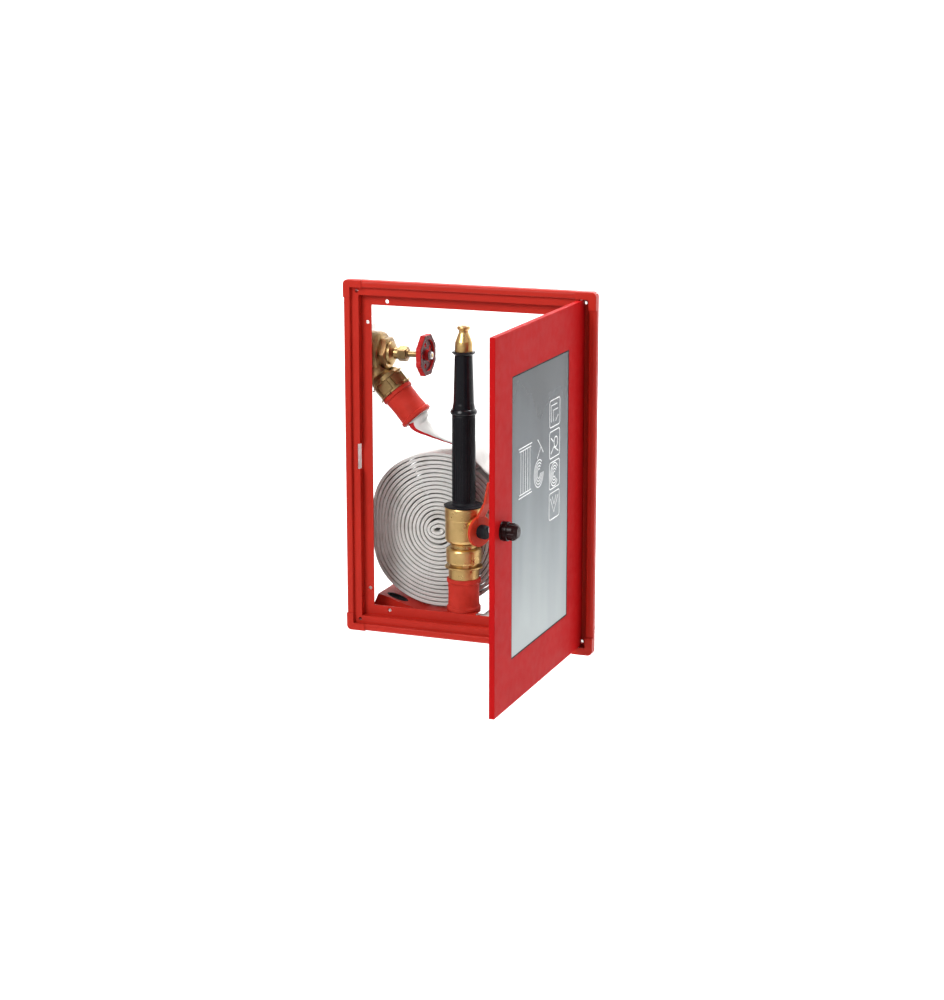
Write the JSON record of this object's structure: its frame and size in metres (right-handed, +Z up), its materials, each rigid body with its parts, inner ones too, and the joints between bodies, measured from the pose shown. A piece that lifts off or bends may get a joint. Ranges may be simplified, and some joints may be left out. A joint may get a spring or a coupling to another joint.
{
  "type": "recessed fire hose cabinet",
  "caption": "Flush wall cabinet with an open windowed door, angle valve with handwheel, rolled lay-flat hose and shut-off branch pipe on a bent saddle.",
  "frame": {"origin": "centre of the four frame fixing holes, in the plane of the wall face", "axes": "X to the right as the front is seen, Y into the wall, Z up; the front looks along -Y"},
  "size_m": [0.4962, 0.594, 0.65],
  "materials": {
    "frame_red": "semi-gloss powder coat",
    "door_red": "semi-gloss powder coat",
    "liner_white": "white powder coat",
    "zinc_steel": "zinc plated",
    "valve_brass": "aged cast and turned brass",
    "nozzle_brass": "turned brass",
    "wheel_red": "gloss enamel on cast metal",
    "lever_red": "orange-red enamel",
    "hose_canvas": "woven jacket",
    "sleeve_rubber": "smooth moulded rubber",
    "seal_rubber": "black",
    "seat_plastic": "white fluoropolymer",
    "grip_plastic": "black, lightly ribbed",
    "barrel_plastic": "black, polished",
    "knob_plastic": "very dark maroon",
    "chrome_steel": "polished",
    "tube_aluminium": "drawn",
    "clear_pane": "smoked clear acrylic"
  },
  "bodies": {
    "cabinet": {"ball_seats": "seat_plastic", "bulkhead_plate": "liner_white", "corner_bottom_left": "frame_red", "corner_bottom_right": "frame_red", "corner_top_left": "frame_red", "corner_top_right": "frame_red", "gland_nut": "valve_brass", "gland_packing": "seal_rubber", "hose_coil": "hose_canvas", "hose_cuffs": "hose_canvas", "hose_inlet_run": "hose_canvas", "hose_outlet_run": "hose_canvas", "inlet_locknut": "valve_brass", "liner_left": "liner_white", "liner_right": "liner_white", "liner_shelf": "liner_white", "liner_top": "liner_white", "nozzle_barrel": "barrel_plastic", "nozzle_body": "nozzle_brass", "nozzle_core": "tube_aluminium", "nozzle_coupling": "nozzle_brass", "nozzle_gasket": "seal_rubber", "nozzle_grip": "grip_plastic", "nozzle_head": "nozzle_brass", "nozzle_rest": "frame_red", "nozzle_ring": "nozzle_brass", "nozzle_sleeve": "sleeve_rubber", "nozzle_tail": "nozzle_brass", "nozzle_tip": "nozzle_brass", "outlet_gasket": "seal_rubber", "outlet_ring": "valve_brass", "outlet_sleeve": "sleeve_rubber", "outlet_tail": "valve_brass", "rail_bottom": "frame_red", "rail_left": "frame_red", "rail_right": "frame_red", "rail_top": "frame_red", "rivets": "zinc_steel", "saddle": "frame_red", "saddle_pad": "seal_rubber", "valve_body": "valve_brass", "valve_bonnet": "valve_brass"},
    "disc": {"valve_disc": "valve_brass"},
    "stem": {"spindle": "valve_brass", "handwheel": "wheel_red", "handwheel_nut": "zinc_steel"},
    "lever_and_ball": {"nozzle_ball": "chrome_steel", "ball_stem": "chrome_steel", "lever": "lever_red", "lever_cap": "grip_plastic"},
    "door": {"door_panel": "door_red", "window_gasket": "seal_rubber", "window_pane": "clear_pane", "pane_retainer": "door_red", "retainer_clips": "zinc_steel", "hinge_pins": "zinc_steel", "lock_housing": "knob_plastic"},
    "latch": {"knob": "knob_plastic", "latch_cam": "zinc_steel", "cam_nut": "zinc_steel"}
  },
  "joints": [
    {"name": "door_hinge", "type": "hinge", "parent": "cabinet", "child": "door", "pos_m": [0.211, -0.014, 0], "axis": [0, 0, 1], "range_deg": [-90, 20]},
    {"name": "latch_turn", "type": "hinge", "parent": "door", "child": "latch", "pos_m": [0.214, -0.414, -0.005], "axis": [1, 0, 0], "range_deg": [0, 90]},
    {"name": "disc_slide", "type": "slide", "parent": "cabinet", "child": "disc", "axis": [1, 0, 0], "range_m": [0, 0.0121]},
    {"name": "handwheel_turn", "type": "hinge", "parent": "disc", "child": "stem", "pos_m": [-0.108, 0.061, 0.184], "axis": [1, 0, 0], "range_deg": [0, 1080]},
    {"name": "lever_turn", "type": "hinge", "parent": "cabinet", "child": "lever_and_ball", "pos_m": [-0.0255, 0.036, -0.124], "axis": [0.9135, -0.4067, 0], "range_deg": [-90, 0]}
  ],
  "couplings": [
    {"joint": "disc_slide", "follows": "handwheel_turn", "m_per_rad": 0.00063662}
  ]
}
